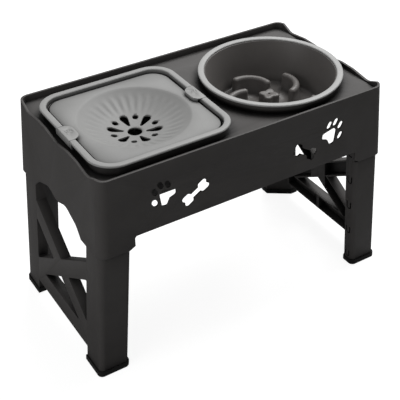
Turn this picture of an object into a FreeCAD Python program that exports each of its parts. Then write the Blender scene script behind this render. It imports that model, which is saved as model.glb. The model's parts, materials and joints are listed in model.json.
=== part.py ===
import FreeCAD, Part
import math
import os
import Sketcher
from FreeCAD import Placement, Rotation, Vector

# Height-adjustable feeding stand with two lift-out bowls.
# Frame: millimetres, X along the stand, Y to the back, Z up, origin on the floor under the middle.
# The stand top stands on two end frames that lean outwards and slide in its corners.

os.makedirs("parts", exist_ok=True)
doc = FreeCAD.newDocument("ElevatedBowls")
sheet = doc.addObject("Spreadsheet::Sheet", "Sizes")

# Driving sizes, in millimetres. Names ending in share are ratios.
SIZES = {
    # stand top
    "top_length": 420.0,
    "top_width": 232.0,
    "rim_height": 300.5,
    "rim_drop": 9.0,
    "rim_wall": 3.0,
    "deck_thickness": 3.0,
    "shell_wall": 2.5,
    "apron_depth": 107.5,
    "top_corner_radius": 13.0,
    "cavity_corner_radius": 8.6,
    "end_flare_share": 0.084,
    "side_flare_share": 0.035,
    # edge of the apron between the ears
    "front_arch_rise": 18.0,
    "front_ear_length": 49.0,
    "ear_tip_radius": 8.0,
    "arch_root_radius": 4.0,
    "side_arch_half_width": 68.5,
    "side_arch_shoulder": 55.0,
    "side_arch_hump_offset": 25.0,
    "side_arch_hump_rise": 24.0,
    "side_arch_dip_rise": 15.0,
    "side_arch_shoulder_rise": 13.0,
    "side_arch_radius": 22.0,
    # waves in the rim at both ends
    "wave_shoulder": 104.0,
    "wave_outer_dip": 86.0,
    "wave_crest": 42.0,
    "wave_crest_half_width": 12.0,
    "wave_dip_drop": 7.5,
    "wave_crest_drop": 3.0,
    "wave_radius": 18.0,
    # paw and bone openings in the front of the apron
    "bone_level": 241.2,
    "bone_offset": 83.0,
    "bone_half_length": 13.9,
    "bone_half_shaft": 4.2,
    "bone_half_end": 8.4,
    "bone_lobe": 5.8,
    "bone_radius": 3.5,
    "bone_flank": 2.0,
    "paw_level": 249.5,
    "paw_offset": 121.5,
    "paw_notch": 3.4,
    "paw_heel": 7.0,
    "paw_heel_half": 8.8,
    "paw_cheek": 1.0,
    "paw_half_width": 13.6,
    "paw_tip": 14.2,
    "paw_tip_half": 3.4,
    "paw_pad_radius": 3.1,
    "toe_radius": 3.5,
    "toe_half_length": 2.1,
    "inner_toe_reach": 22.7,
    "outer_toe_reach": 18.7,
    # bowls
    "bowl_spacing": 209.2,
    "bowl_forward": 6.0,
    "ring_height": 305.8,
    "ring_thickness": 2.6,
    "opening_clearance": 0.6,
    "square_ring_half": 97.0,
    "square_ring_width": 8.5,
    "square_ring_radius": 34.0,
    "ring_lip_wall": 1.2,
    "ring_lip_gap": 0.3,
    "ring_lip_depth": 3.5,
    "skirt_inset": 3.0,
    "square_body_half": 89.6,
    "square_body_radius": 28.0,
    "bowl_wall": 2.5,
    "square_draft_share": 0.022,
    "square_straight_depth": 54.0,
    "water_bowl_depth": 77.0,
    "square_bottom_inset": 11.0,
    "round_ring_radius": 97.8,
    "round_ring_width": 8.5,
    "round_body_radius": 90.6,
    "round_waist_radius": 79.4,
    "round_waist_depth": 42.0,
    "food_bowl_depth": 59.2,
    "round_floor_radius": 74.8,
    "round_floor_curve": 4.0,
    # slow feeder ridges and post
    "ridge_circle": 32.0,
    "ridge_radius": 29.9,
    "ridge_half_width": 4.3,
    "ridge_height": 24.7,
    "post_height": 24.0,
    "post_tip": 14.0,
    "post_half_tip": 4.6,
    "post_waist": 8.6,
    "post_round": 4.2,
    # float plate
    "plate_half": 85.5,
    "plate_radius": 25.0,
    "plate_thickness": 2.2,
    "plate_edge_depth": 7.0,
    "plate_gap": 0.3,
    "plate_drop": 2.0,
    "dish_radius": 73.0,
    "dish_depth": 24.0,
    "drain_radius": 9.3,
    "petal_start": 16.2,
    "petal_end": 35.0,
    "petal_inner_radius": 1.9,
    "petal_outer_radius": 5.5,
    "spot_circle": 29.5,
    "spot_radius": 4.0,
    # clips over the water bowl's ring
    "clip_half_length": 17.2,
    "clip_reach": 17.0,
    "clip_thickness": 1.4,
    "clip_gap": 0.25,
    "clip_arm": 2.0,
    "clip_nose_radius": 12.0,
    "clip_lip_gap": 3.4,
    "clip_side_gap": 0.6,
    "hinge_drop": 9.8,
    "hinge_inset": 1.25,
    "hinge_barrel_radius": 1.2,
    "hinge_pin_radius": 0.8,
    "hinge_pin_length": 3.4,
    "hinge_play": 0.05,
    "hinge_lug_radius": 1.7,
    "hinge_lug_width": 3.6,
    "lug_gap": 0.4,
    # end frames
    "end_inset": 3.5,
    "side_inset": 4.5,
    "leg_taper_share": 0.01,
    "leg_depth": 42.0,
    "leg_width": 39.0,
    "leg_inner_width": 17.0,
    "leg_back_depth": 10.0,
    "leg_wall": 2.5,
    "leg_corner_radius": 7.2,
    "socket_height": 43.0,
    "socket_step": 2.0,
    "socket_web": 8.0,
    "frame_depth": 14.5,
    "frame_skin": 3.0,
    "frame_flange": 2.5,
    "frame_overlap": 8.0,
    "rail_low": 24.0,
    "rail_height": 26.3,
    "brace_centre": 100.0,
    "brace_half_height": 14.5,
    "brace_slope_share": 0.64,
    "brace_hub": 17.0,
    "top_rail_height": 24.0,
    "window_radius": 1.5,
    "rail_rib": 3.0,
    # snap tongues cut into the legs, and the windows they catch in
    "tongue_first": 21.0,
    "tongue_pitch": 46.0,
    "tongue_half_width": 4.6,
    "tongue_slot": 1.9,
    "tongue_height": 13.0,
    "guide_wall": 2.5,
    "guide_gap": 0.6,
    "guide_low": 7.0,
    "guide_width": 14.0,
    "catch_half": 5.0,
    # feet
    "foot_height": 8.0,
    "foot_floor": 4.5,
    "foot_wall": 1.7,
    "foot_fit": 0.15,
    # stiffening under the deck
    "rib_thickness": 2.5,
    "rib_depth": 22.0,
    "rib_offset": 5.0,
    # one overrun serves every cut
    "overrun": 6.0,
}

for row, (alias, number) in enumerate(SIZES.items(), start=1):
    sheet.set("A%d" % row, alias.replace("_", " "))
    sheet.set("B%d" % row, str(number))
    sheet.setAlias("B%d" % row, alias)
doc.recompute()


class Size:
    """A length or ratio from the sheet, with its value now and its expression text."""

    def __init__(self, value, text):
        self.value = value
        self.text = text

    def joined(self, other, sign, value):
        return Size(value, "(%s %s %s)" % (self.text, sign, size(other).text))

    def __add__(self, other):
        return self.joined(other, "+", self.value + size(other).value)

    def __sub__(self, other):
        return self.joined(other, "-", self.value - size(other).value)

    def __mul__(self, other):
        return self.joined(other, "*", self.value * size(other).value)

    def __truediv__(self, other):
        return self.joined(other, "/", self.value / size(other).value)

    def __radd__(self, other):
        return size(other) + self

    def __rsub__(self, other):
        return size(other) - self

    def __rmul__(self, other):
        return size(other) * self

    def __neg__(self):
        return Size(-self.value, "(0 - %s)" % self.text)


def size(thing):
    if isinstance(thing, Size):
        return thing
    return Size(float(thing), "%.9g" % thing if thing >= 0 else "(0 - %.9g)" % -thing)


def root(thing):
    return Size(math.sqrt(thing.value), "sqrt(%s)" % thing.text)


def is_zero(thing):
    return not isinstance(thing, Size) and thing == 0


def bind(obj, path, thing):
    obj.setExpression(path, size(thing).text)


S = {}
for alias, number in SIZES.items():
    S[alias] = Size(sheet.get(alias), "Sizes.%s" % alias)


# Sketch helpers

def new_body(label):
    body = doc.addObject("PartDesign::Body", label)
    body.Label = label
    return body


def place_body(body, x, y, degrees=0):
    body.Placement = Placement(Vector(0, 0, 0), Rotation(Vector(0, 0, 1), degrees))
    bind(body, "Placement.Base.x", x)
    bind(body, "Placement.Base.y", y)


def new_sketch(body, plane, name, height=0):
    sketch = body.newObject("Sketcher::SketchObject", name)
    for feature in body.Origin.OriginFeatures:
        if feature.Role == plane + "_Plane":
            sketch.AttachmentSupport = [(feature, "")]
    sketch.MapMode = "FlatFace"
    if not is_zero(height):
        sketch.AttachmentOffset = Placement(Vector(0, 0, size(height).value), Rotation())
        bind(sketch, "AttachmentOffset.Base.z", height)
    return sketch


def pin(sketch, geo, vertex, x, y):
    """Holds a vertex of the sketch at a place given by sizes; None leaves that direction free."""
    if x is None:
        pass
    elif is_zero(x):
        sketch.addConstraint(Sketcher.Constraint("PointOnObject", geo, vertex, -2))
    else:
        index = sketch.addConstraint(Sketcher.Constraint("DistanceX", -1, 1, geo, vertex, size(x).value))
        bind(sketch, "Constraints[%d]" % index, x)
    if y is None:
        pass
    elif is_zero(y):
        sketch.addConstraint(Sketcher.Constraint("PointOnObject", geo, vertex, -1))
    else:
        index = sketch.addConstraint(Sketcher.Constraint("DistanceY", -1, 1, geo, vertex, size(y).value))
        bind(sketch, "Constraints[%d]" % index, y)


def round_to(sketch, geo, radius):
    index = sketch.addConstraint(Sketcher.Constraint("Radius", geo, size(radius).value))
    bind(sketch, "Constraints[%d]" % index, radius)


def add_circle(sketch, x, y, radius):
    centre = Vector(size(x).value, size(y).value, 0)
    geo = sketch.addGeometry(Part.Circle(centre, Vector(0, 0, 1), size(radius).value), False)
    pin(sketch, geo, 3, x, y)
    round_to(sketch, geo, radius)


def add_arc(sketch, start, middle, end):
    """Adds an arc, and tells which of its vertices the path enters and leaves by."""
    forward = (middle - start).cross(end - middle).z > 0
    points = (start, middle, end) if forward else (end, middle, start)
    geo = sketch.addGeometry(Part.Arc(*points), False)
    return (geo, 1, 2) if forward else (geo, 2, 1)


def corner_arc(before, corner, after, radius):
    """The arc that rounds a corner, as start, middle and end points."""
    back = (before - corner).normalize()
    ahead = (after - corner).normalize()
    half = back.getAngle(ahead) / 2
    reach = radius / math.tan(half)
    axis = (back + ahead).normalize()
    middle = corner + axis * (radius / math.sin(half) - radius)
    return corner + back * reach, middle, corner + ahead * reach


def add_outline(sketch, corners):
    """A closed outline through corners (x, y), or (x, y, radius) where the corner is rounded."""
    count = len(corners)
    places = [Vector(size(c[0]).value, size(c[1]).value, 0) for c in corners]
    arcs = []
    for i, corner in enumerate(corners):
        if len(corner) == 3:
            arcs.append(corner_arc(places[i - 1], places[i], places[(i + 1) % count], size(corner[2]).value))
        else:
            arcs.append(None)
    lines = []
    for i in range(count):
        j = (i + 1) % count
        start = arcs[i][2] if arcs[i] else places[i]
        end = arcs[j][0] if arcs[j] else places[j]
        lines.append(sketch.addGeometry(Part.LineSegment(start, end), False))
    for i, corner in enumerate(corners):
        line_in = lines[i - 1]
        line_out = lines[i]
        if arcs[i] is None:
            sketch.addConstraint(Sketcher.Constraint("Coincident", line_in, 2, line_out, 1))
            pin(sketch, line_out, 1, corner[0], corner[1])
            continue
        geo, first, last = add_arc(sketch, *arcs[i])
        sketch.addConstraint(Sketcher.Constraint("Tangent", line_in, 2, geo, first))
        sketch.addConstraint(Sketcher.Constraint("Tangent", geo, last, line_out, 1))
        round_to(sketch, geo, corner[2])
        mark = sketch.addGeometry(Part.Point(places[i]), True)
        sketch.addConstraint(Sketcher.Constraint("PointOnObject", mark, 1, line_in))
        sketch.addConstraint(Sketcher.Constraint("PointOnObject", mark, 1, line_out))
        pin(sketch, mark, 1, corner[0], corner[1])


def add_box(sketch, x_low, y_low, x_high, y_high, radius=None):
    corners = [(x_low, y_low), (x_high, y_low), (x_high, y_high), (x_low, y_high)]
    if radius is not None:
        corners = [corner + (radius,) for corner in corners]
    add_outline(sketch, corners)


def add_square(sketch, half_x, half_y, radius):
    add_box(sketch, -half_x, -half_y, half_x, half_y, radius)


def add_slot(sketch, start, start_radius, end, end_radius):
    """A slot or teardrop round two centres."""
    a = Vector(size(start[0]).value, size(start[1]).value, 0)
    b = Vector(size(end[0]).value, size(end[1]).value, 0)
    ra = size(start_radius).value
    rb = size(end_radius).value
    along = (b - a).normalize()
    lean = math.acos((ra - rb) / (b - a).Length)
    heading = math.atan2(along.y, along.x)

    def on(centre, radius, angle):
        return centre + Vector(math.cos(angle), math.sin(angle), 0) * radius

    left, right = heading + lean, heading - lean
    upper = sketch.addGeometry(Part.LineSegment(on(a, ra, left), on(b, rb, left)), False)
    lower = sketch.addGeometry(Part.LineSegment(on(b, rb, right), on(a, ra, right)), False)
    nose = (on(b, rb, left), on(b, rb, heading), on(b, rb, right))
    tail = (on(a, ra, right), on(a, ra, heading + math.pi), on(a, ra, left))
    for points, first, last, place, radius in (
        (nose, upper, lower, end, end_radius),
        (tail, lower, upper, start, start_radius),
    ):
        geo, near, far = add_arc(sketch, *points)
        sketch.addConstraint(Sketcher.Constraint("Tangent", first, 2, geo, near))
        sketch.addConstraint(Sketcher.Constraint("Tangent", geo, far, last, 1))
        pin(sketch, geo, 3, place[0], place[1])
        round_to(sketch, geo, radius)


# Feature helpers

def finish(body, feature, grows):
    """Recomputes, and stops if the feature failed or moved the volume the wrong way."""
    before = body.BaseVolume if "BaseVolume" in body.PropertiesList else 0.0
    body.Tip = feature
    doc.recompute()
    volume = body.Shape.Volume
    if feature.State and ("Invalid" in feature.State or "Error" in feature.State):
        raise RuntimeError("%s in %s failed" % (feature.Name, body.Label))
    if grows != (volume > before) or volume == before:
        raise RuntimeError("%s in %s did nothing useful" % (feature.Name, body.Label))
    if "BaseVolume" not in body.PropertiesList:
        body.addProperty("App::PropertyFloat", "BaseVolume", "Check", "volume after the last feature")
    body.BaseVolume = volume
    return feature


def extrude(kind, body, sketch, length, reverse=False, symmetric=False, grows=True):
    feature = body.newObject(kind, sketch.Name + ("_pad" if grows else "_cut"))
    feature.Profile = sketch
    feature.SideType = "Symmetric" if symmetric else "One side"
    feature.Reversed = reverse
    feature.Length = size(length).value
    bind(feature, "Length", length)
    sketch.Visibility = False
    return finish(body, feature, grows)


def pad(body, sketch, length, reverse=False, symmetric=False):
    return extrude("PartDesign::Pad", body, sketch, length, reverse, symmetric, True)


def pocket(body, sketch, length, reverse=False, symmetric=False):
    return extrude("PartDesign::Pocket", body, sketch, length, reverse, symmetric, False)


def loft(body, sketches, grows=True):
    kind = "PartDesign::AdditiveLoft" if grows else "PartDesign::SubtractiveLoft"
    feature = body.newObject(kind, sketches[0].Name + "_loft")
    feature.Profile = sketches[0]
    feature.Sections = sketches[1:]
    feature.Ruled = True
    return finish(body, feature, grows)


def turn(body, sketch, grows=True):
    kind = "PartDesign::Revolution" if grows else "PartDesign::Groove"
    feature = body.newObject(kind, sketch.Name + "_turned")
    feature.Profile = sketch
    feature.ReferenceAxis = (sketch, ["V_Axis"])
    feature.Angle = 360
    return finish(body, feature, grows)


def repeat_round(body, feature, count, grows):
    pattern = body.newObject("PartDesign::PolarPattern", feature.Name + "_pattern")
    pattern.Originals = [feature]
    for axis in body.Origin.OriginFeatures:
        if axis.Role == "Z_Axis":
            pattern.Axis = (axis, [""])
    pattern.Angle = 360
    pattern.Occurrences = count
    return finish(body, pattern, grows)


def turned(u, v, degrees, x, y):
    """A point given along and across a slanted axis, about (x, y)."""
    c = math.cos(math.radians(degrees))
    s = math.sin(math.radians(degrees))
    return x + u * c - v * s, y + u * s + v * c


# Levels shared by several pieces

rim_top = S["rim_height"]
deck_top = rim_top - S["rim_drop"]
deck_under = deck_top - S["deck_thickness"]
ear_level = rim_top - S["apron_depth"]
ring_under = S["ring_height"] - S["ring_thickness"]
plate_top = ring_under - S["plate_drop"] - S["plate_gap"]
bowl_x = S["bowl_spacing"] / 2
bowl_y = -S["bowl_forward"]
lean = S["end_flare_share"]

# Angles of the paw and bone openings, in degrees, and how far each toe stands round from the heading
BONE_SLANT = 31
PAW_SLANT = 42
TOES = ((-54, "outer_toe_reach"), (-11, "inner_toe_reach"), (16, "inner_toe_reach"), (42, "outer_toe_reach"))
TOE_TURN = 13

# Angles of the slow feeder, in degrees: of the ridges about the middle, of each ridge's ends about its own
# centre, and of the post's lobes against the ridges
FEEDER_TURN = 40
RIDGE_ENDS = (-112, -16)
POST_TURN = 5


def half_length(level, inset=0):
    """Half the apron's length at a height, less an inset."""
    return S["top_length"] / 2 + lean * (rim_top - level) - inset


def half_width(level, inset=0):
    return S["top_width"] / 2 + S["side_flare_share"] * (rim_top - level) - inset


# Stand top

def build_stand_top():
    body = new_body("stand_top")
    wall = S["shell_wall"]
    radius = S["top_corner_radius"]
    over = S["overrun"]

    low = new_sketch(body, "XY", "apron_foot", ear_level)
    add_square(low, half_length(ear_level), half_width(ear_level), radius)
    high = new_sketch(body, "XY", "rim_outline", rim_top)
    add_square(high, half_length(rim_top), half_width(rim_top), radius)
    loft(body, [low, high])

    low = new_sketch(body, "XY", "cavity_mouth", ear_level)
    add_square(low, half_length(ear_level, wall), half_width(ear_level, wall), S["cavity_corner_radius"])
    high = new_sketch(body, "XY", "cavity_roof", deck_under)
    add_square(high, half_length(deck_under, wall), half_width(deck_under, wall), S["cavity_corner_radius"])
    loft(body, [low, high], grows=False)

    tray = new_sketch(body, "XY", "tray", rim_top)
    inset = S["rim_wall"]
    add_square(tray, half_length(rim_top, inset), half_width(rim_top, inset), radius - inset)
    pocket(body, tray, S["rim_drop"])

    waves = new_sketch(body, "YZ", "rim_waves")
    dip = rim_top - S["wave_dip_drop"]
    crest = rim_top - S["wave_crest_drop"]
    bend = S["wave_radius"]
    shoulder = S["wave_shoulder"]
    outer_dip = S["wave_outer_dip"]
    crest_out = S["wave_crest"] + S["wave_crest_half_width"]
    crest_in = S["wave_crest"] - S["wave_crest_half_width"]
    add_outline(waves, [
        (-shoulder, rim_top + over), (-shoulder, rim_top), (-outer_dip, dip, bend), (-crest_out, crest, bend),
        (-crest_in, crest, bend), (0, dip, bend), (crest_in, crest, bend),
        (crest_out, crest, bend), (outer_dip, dip, bend), (shoulder, rim_top), (shoulder, rim_top + over),
    ])
    pocket(body, waves, S["top_length"] + 2 * over, symmetric=True)

    front_arch = new_sketch(body, "XZ", "front_arch")
    root_x = half_length(ear_level) - S["front_ear_length"]
    arch_top = ear_level + S["front_arch_rise"]
    tip = S["ear_tip_radius"]
    add_outline(front_arch, [
        (-root_x - tip, ear_level - over), (-root_x - tip, ear_level), (-root_x, ear_level + tip / 2),
        (-root_x, arch_top, S["arch_root_radius"]), (root_x, arch_top, S["arch_root_radius"]),
        (root_x, ear_level + tip / 2), (root_x + tip, ear_level), (root_x + tip, ear_level - over),
    ])
    pocket(body, front_arch, 2 * half_width(ear_level) + 2 * over, symmetric=True)

    side_arch = new_sketch(body, "YZ", "side_arch")
    curve = S["side_arch_radius"]
    foot = S["side_arch_half_width"]
    shoulder = S["side_arch_shoulder"]
    hump = S["side_arch_hump_offset"]
    add_outline(side_arch, [
        (-foot, ear_level - over), (-foot, ear_level),
        (-shoulder, ear_level + S["side_arch_shoulder_rise"], S["wave_radius"]),
        (-hump, ear_level + S["side_arch_hump_rise"], curve),
        (0, ear_level + S["side_arch_dip_rise"], curve),
        (hump, ear_level + S["side_arch_hump_rise"], curve),
        (shoulder, ear_level + S["side_arch_shoulder_rise"], S["wave_radius"]),
        (foot, ear_level), (foot, ear_level - over),
    ])
    pocket(body, side_arch, 2 * half_length(ear_level) + 2 * over, symmetric=True)

    square = new_sketch(body, "XY", "square_opening", deck_top)
    hole = S["square_body_half"] + S["opening_clearance"]
    hole_radius = S["square_body_radius"] + S["opening_clearance"]
    add_box(square, -bowl_x - hole, bowl_y - hole, -bowl_x + hole, bowl_y + hole, hole_radius)
    pocket(body, square, S["deck_thickness"] + over)
    circle = new_sketch(body, "XY", "round_opening", deck_top)
    add_circle(circle, bowl_x, bowl_y, S["round_body_radius"] + S["opening_clearance"])
    pocket(body, circle, S["deck_thickness"] + over)

    rib_half = half_width(deck_under, wall / 2)
    for side in (-1, 1):
        rib = new_sketch(body, "XY", "middle_rib", deck_under)
        near = side * S["rib_offset"]
        add_box(rib, near - S["rib_thickness"] / 2, -rib_half, near + S["rib_thickness"] / 2, rib_half)
        pad(body, rib, S["rib_depth"], reverse=True)

    front = half_width(ear_level) + over
    through = over + wall + S["side_flare_share"] * S["apron_depth"] + over / 2
    for side in (-1, 1):
        cut_bone(body, side, front, through)
        cut_paw(body, side, front, through)
    for side in (-1, 1):
        for end in (-1, 1):
            add_guide(body, side, end)
    return body


def cut_bone(body, side, front, through):
    bone = new_sketch(body, "XZ", "bone", front)
    reach = S["bone_half_length"]
    shaft = S["bone_half_shaft"]
    lobe = S["bone_lobe"]
    curve = S["bone_radius"]
    wide = S["bone_half_end"]
    quarter = [(reach + lobe * 0.75, 0), (reach + lobe, lobe / 3, curve / 3),
               (reach + lobe, wide, curve),
               (reach - lobe, wide, curve), (reach - lobe - S["bone_flank"], shaft)]
    loop = quarter + [(-u, v) + tuple(rest) for u, v, *rest in reversed(quarter[1:])]
    loop = loop + [(-u, -v if not is_zero(v) else 0) + tuple(rest) for u, v, *rest in quarter]
    loop = loop + [(u, -v) + tuple(rest) for u, v, *rest in reversed(quarter[1:])]
    slant = -side * BONE_SLANT
    corners = []
    for u, v, *rest in loop:
        x, z = turned(size(u), size(v), slant, side * S["bone_offset"], S["bone_level"])
        corners.append((x, z) + tuple(rest))
    add_outline(bone, corners)
    pocket(body, bone, through)


def cut_paw(body, side, front, through):
    """A pad and four toes, drawn along the paw's heading, which points up and away from the middle."""
    heading = 90 - side * PAW_SLANT
    centre = (side * S["paw_offset"], S["paw_level"])
    pad_sketch = new_sketch(body, "XZ", "paw_pad", front)
    half = [(-S["paw_heel"], S["paw_heel_half"]), (-S["paw_cheek"], S["paw_half_width"]),
            (S["paw_tip"], S["paw_tip_half"])]
    corners = [turned(-S["paw_notch"], size(0), heading, *centre)]
    for u, v in [(u, -v) for u, v in half] + half[::-1]:
        corners.append(turned(u, v, heading, *centre) + (S["paw_pad_radius"],))
    add_outline(pad_sketch, corners)
    pocket(body, pad_sketch, through)
    for fan, reach in TOES:
        toe = new_sketch(body, "XZ", "toe", front)
        middle = turned(S[reach], 0, heading + side * fan, *centre)
        turn_in = heading + side * TOE_TURN
        start = turned(-S["toe_half_length"], 0, turn_in, *middle)
        end = turned(S["toe_half_length"], 0, turn_in, *middle)
        add_slot(toe, start, S["toe_radius"], end, S["toe_radius"])
        pocket(body, toe, through)


def add_guide(body, side, end):
    """A wall inside the corner that guides the leg's inner face, with a window for the snap tongue."""
    bottom = ear_level + S["guide_low"]

    def section(level):
        sketch = new_sketch(body, "XY", "guide", level)
        outer = half_length(level, S["end_inset"] + S["leg_depth"] + S["guide_gap"])
        wall_y = half_width(level, S["shell_wall"] / 2)
        inner_y = half_width(deck_under, S["shell_wall"]) - S["guide_width"]
        add_box(sketch, side * (outer - S["guide_wall"]), end * wall_y, side * outer, end * inner_y)
        return sketch

    loft(body, [section(bottom), section(deck_under)])
    catch = new_sketch(body, "YZ", "catch", 0)
    level = S["tongue_first"] + 4 * S["tongue_pitch"]
    middle = end * (half_width(ear_level, S["side_inset"]) - S["leg_inner_width"] / 2)
    half = S["catch_half"]
    add_box(catch, middle - half, level - half, middle + half, level + half)
    depth = half_length(ear_level, S["end_inset"] + S["leg_depth"] - S["guide_wall"])
    pocket(body, catch, depth, reverse=side > 0)


# End frames. Each is drawn flat, with x running inwards from its outer face, and leans in its placement.

def leg_section(side, end, out, grow):
    """Corners of a leg's section: a box with its inner corner cut off."""
    depth = S["leg_depth"]
    inner = out - S["leg_inner_width"]
    back = out - S["leg_width"]
    outer_x = -grow
    return [
        (side * outer_x, end * (out + grow), S["leg_corner_radius"]),
        (side * (depth + grow), end * (out + grow), S["leg_corner_radius"]),
        (side * (depth + grow), end * (inner - grow * 0.6)),
        (side * (S["leg_back_depth"] + grow * 0.3), end * (back - grow)),
        (side * outer_x, end * (back - grow)),
    ]


def hollow_section(side, end, out):
    """The inside of a leg, one wall in from its section."""
    wall = S["leg_wall"]
    depth = S["leg_depth"]
    inner = out - S["leg_inner_width"]
    back = out - S["leg_width"]
    return [
        (side * wall, end * (out - wall), S["leg_corner_radius"] / 2),
        (side * (depth - wall), end * (out - wall), S["leg_corner_radius"] / 2),
        (side * (depth - wall), end * (inner + wall * 0.6)),
        (side * (S["leg_back_depth"] - wall * 0.3), end * (back + wall)),
        (side * wall, end * (back + wall)),
    ]


leg_top_out = half_width(ear_level, S["side_inset"])
leg_foot_out = leg_top_out + S["leg_taper_share"] * ear_level
web_edge = leg_top_out - S["leg_width"]
frame_top = ear_level + S["socket_height"]


def build_end_frame(label, side):
    """side is 1 for the left frame, whose x runs towards the middle, and -1 for the right."""
    body = new_body(label)
    slant = side * math.degrees(math.atan(lean.value))
    body.Placement = Placement(Vector(0, 0, 0), Rotation(Vector(0, 1, 0), slant))
    bind(body, "Placement.Base.x", -side * half_length(0, S["end_inset"]))
    bind(body, "Placement.Rotation.Angle", Size(0, "%d * atan(%s)" % (side, lean.text)))
    over = S["overrun"]

    for end in (-1, 1):
        low = new_sketch(body, "XY", "leg_foot")
        add_outline(low, leg_section(side, end, leg_foot_out, size(0)))
        high = new_sketch(body, "XY", "leg_shoulder", ear_level)
        add_outline(high, leg_section(side, end, leg_top_out, size(0)))
        loft(body, [low, high])
        socket = new_sketch(body, "XY", "socket_leg", ear_level)
        out = leg_top_out - S["socket_step"]
        web = S["socket_web"]
        inner = out - S["leg_inner_width"] + S["socket_step"]
        add_outline(socket, [
            (0, end * out, S["leg_corner_radius"]), (side * S["leg_depth"], end * out),
            (side * S["leg_depth"], end * inner),
            (side * web, end * inner), (side * web, end * web_edge), (0, end * web_edge),
        ])
        pad(body, socket, S["socket_height"])

    plate = new_sketch(body, "YZ", "plate")
    reach = web_edge + S["frame_overlap"]
    add_box(plate, -reach, S["rail_low"], reach, ear_level)
    pad(body, plate, S["frame_depth"], reverse=side < 0)
    rail = new_sketch(body, "YZ", "top_rail")
    add_box(rail, -reach, frame_top - S["top_rail_height"], reach, frame_top)
    pad(body, rail, S["socket_web"], reverse=side < 0)

    for end in (-1, 1):
        low = new_sketch(body, "XY", "leg_bore")
        add_outline(low, hollow_section(side, end, leg_foot_out))
        high = new_sketch(body, "XY", "leg_bore_top", ear_level - S["leg_wall"])
        add_outline(high, hollow_section(side, end, leg_top_out))
        loft(body, [low, high], grows=False)

    cut_windows(body, side)
    cut_channels(body, side)
    cut_tongues(body, side)

    trim = new_sketch(body, "XZ", "foot_trim")
    level = S["foot_floor"] * root(1 + lean * lean)
    far = S["leg_depth"] + over
    add_outline(trim, [
        (-side * over, level - lean * over), (side * far, level + lean * far),
        (side * far, -over), (-side * over, -over),
    ])
    pocket(body, trim, 2 * leg_foot_out + 2 * over, symmetric=True)
    return body


def cut_windows(body, side):
    """The openings between the crossed braces, the rail and the legs."""
    centre = S["brace_centre"]
    half = S["brace_half_height"]
    slope = S["brace_slope_share"]
    rail_top = S["rail_low"] + S["rail_height"]
    curve = S["window_radius"]
    notch = half / slope
    upper = new_sketch(body, "YZ", "upper_window")
    edge_rise = slope * web_edge + half
    top = frame_top - S["top_rail_height"]
    add_outline(upper, [
        (0, centre + half, curve), (web_edge, centre + edge_rise, curve), (web_edge, top, curve),
        (-web_edge, top, curve), (-web_edge, centre + edge_rise, curve),
    ])
    pocket(body, upper, S["frame_depth"] + S["overrun"], reverse=side > 0)
    lower = new_sketch(body, "YZ", "lower_window")
    base = (centre - half - rail_top) / slope
    add_outline(lower, [(-base, rail_top, curve), (base, rail_top, curve), (0, centre - half, curve)])
    pocket(body, lower, S["frame_depth"] + S["overrun"], reverse=side > 0)
    for end in (-1, 1):
        window = new_sketch(body, "YZ", "side_window")
        add_outline(window, [
            (end * notch, centre, curve), (end * web_edge, centre - slope * web_edge + half, curve),
            (end * web_edge, centre + slope * web_edge - half, curve),
        ])
        pocket(body, window, S["frame_depth"] + S["overrun"], reverse=side > 0)


def cut_channels(body, side):
    """The braces and the rail are channels, open towards the middle of the stand."""
    centre = S["brace_centre"]
    slope = S["brace_slope_share"]
    flange = S["frame_flange"]
    half = S["brace_half_height"] - flange * root(1 + slope * slope)
    near = S["brace_hub"]
    far = web_edge
    depth = S["frame_depth"] - S["frame_skin"]
    level = side * S["frame_depth"]
    for end in (-1, 1):
        for rise in (-1, 1):
            channel = new_sketch(body, "YZ", "brace_channel", level)
            tilt = rise * slope
            add_outline(channel, [
                (end * near, centre + tilt * near - half), (end * far, centre + tilt * far - half),
                (end * far, centre + tilt * far + half), (end * near, centre + tilt * near + half),
            ])
            pocket(body, channel, depth, reverse=side < 0)
        channel = new_sketch(body, "YZ", "rail_channel", level)
        add_box(channel, end * S["rail_rib"], S["rail_low"] + flange,
                end * web_edge, S["rail_low"] + S["rail_height"] - flange)
        pocket(body, channel, depth, reverse=side < 0)


def cut_tongues(body, side):
    """U-shaped slots in each leg's inner face leave springy tongues, one for each height."""
    half = S["tongue_half_width"]
    slot = S["tongue_slot"]
    tall = S["tongue_height"]
    for end in (-1, 1):
        middle = end * (leg_top_out - S["leg_inner_width"] / 2)
        for step in range(5):
            level = S["tongue_first"] + step * S["tongue_pitch"]
            tongue = new_sketch(body, "YZ", "tongue", side * S["leg_depth"])
            low = level - tall / 2
            high = level + tall / 2
            add_outline(tongue, [
                (middle - half, high), (middle - half, low, half * 0.95), (middle + half, low, half * 0.95),
                (middle + half, high), (middle + half - slot, high),
                (middle + half - slot, low + slot, (half - slot) * 0.9),
                (middle - half + slot, low + slot, (half - slot) * 0.9), (middle - half + slot, high),
            ])
            pocket(body, tongue, S["leg_wall"] + S["leg_wall"] / 5, reverse=side < 0)


# Rubber feet

def build_foot(label, side, end):
    """side is 1 at the left end; end is 1 at the back."""
    body = new_body(label)
    edge = S["foot_wall"]

    def section(name, level, grow):
        sketch = new_sketch(body, "XY", name, level)
        corners = []
        out = leg_foot_out - S["leg_taper_share"] * level
        for x, y, *rest in leg_section(side, end, out, grow):
            corners.append((x - side * half_length(level, S["end_inset"]), y) + tuple(rest))
        add_outline(sketch, corners)
        return sketch

    loft(body, [section("foot_sole", 0, edge), section("foot_brim", S["foot_height"], edge)])
    fit = S["foot_fit"]
    cup = [section("cup_floor", S["foot_floor"], fit), section("cup_mouth", S["foot_height"], fit)]
    loft(body, cup, grows=False)
    return body


# Water bowl, its ring, clips and float plate

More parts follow.
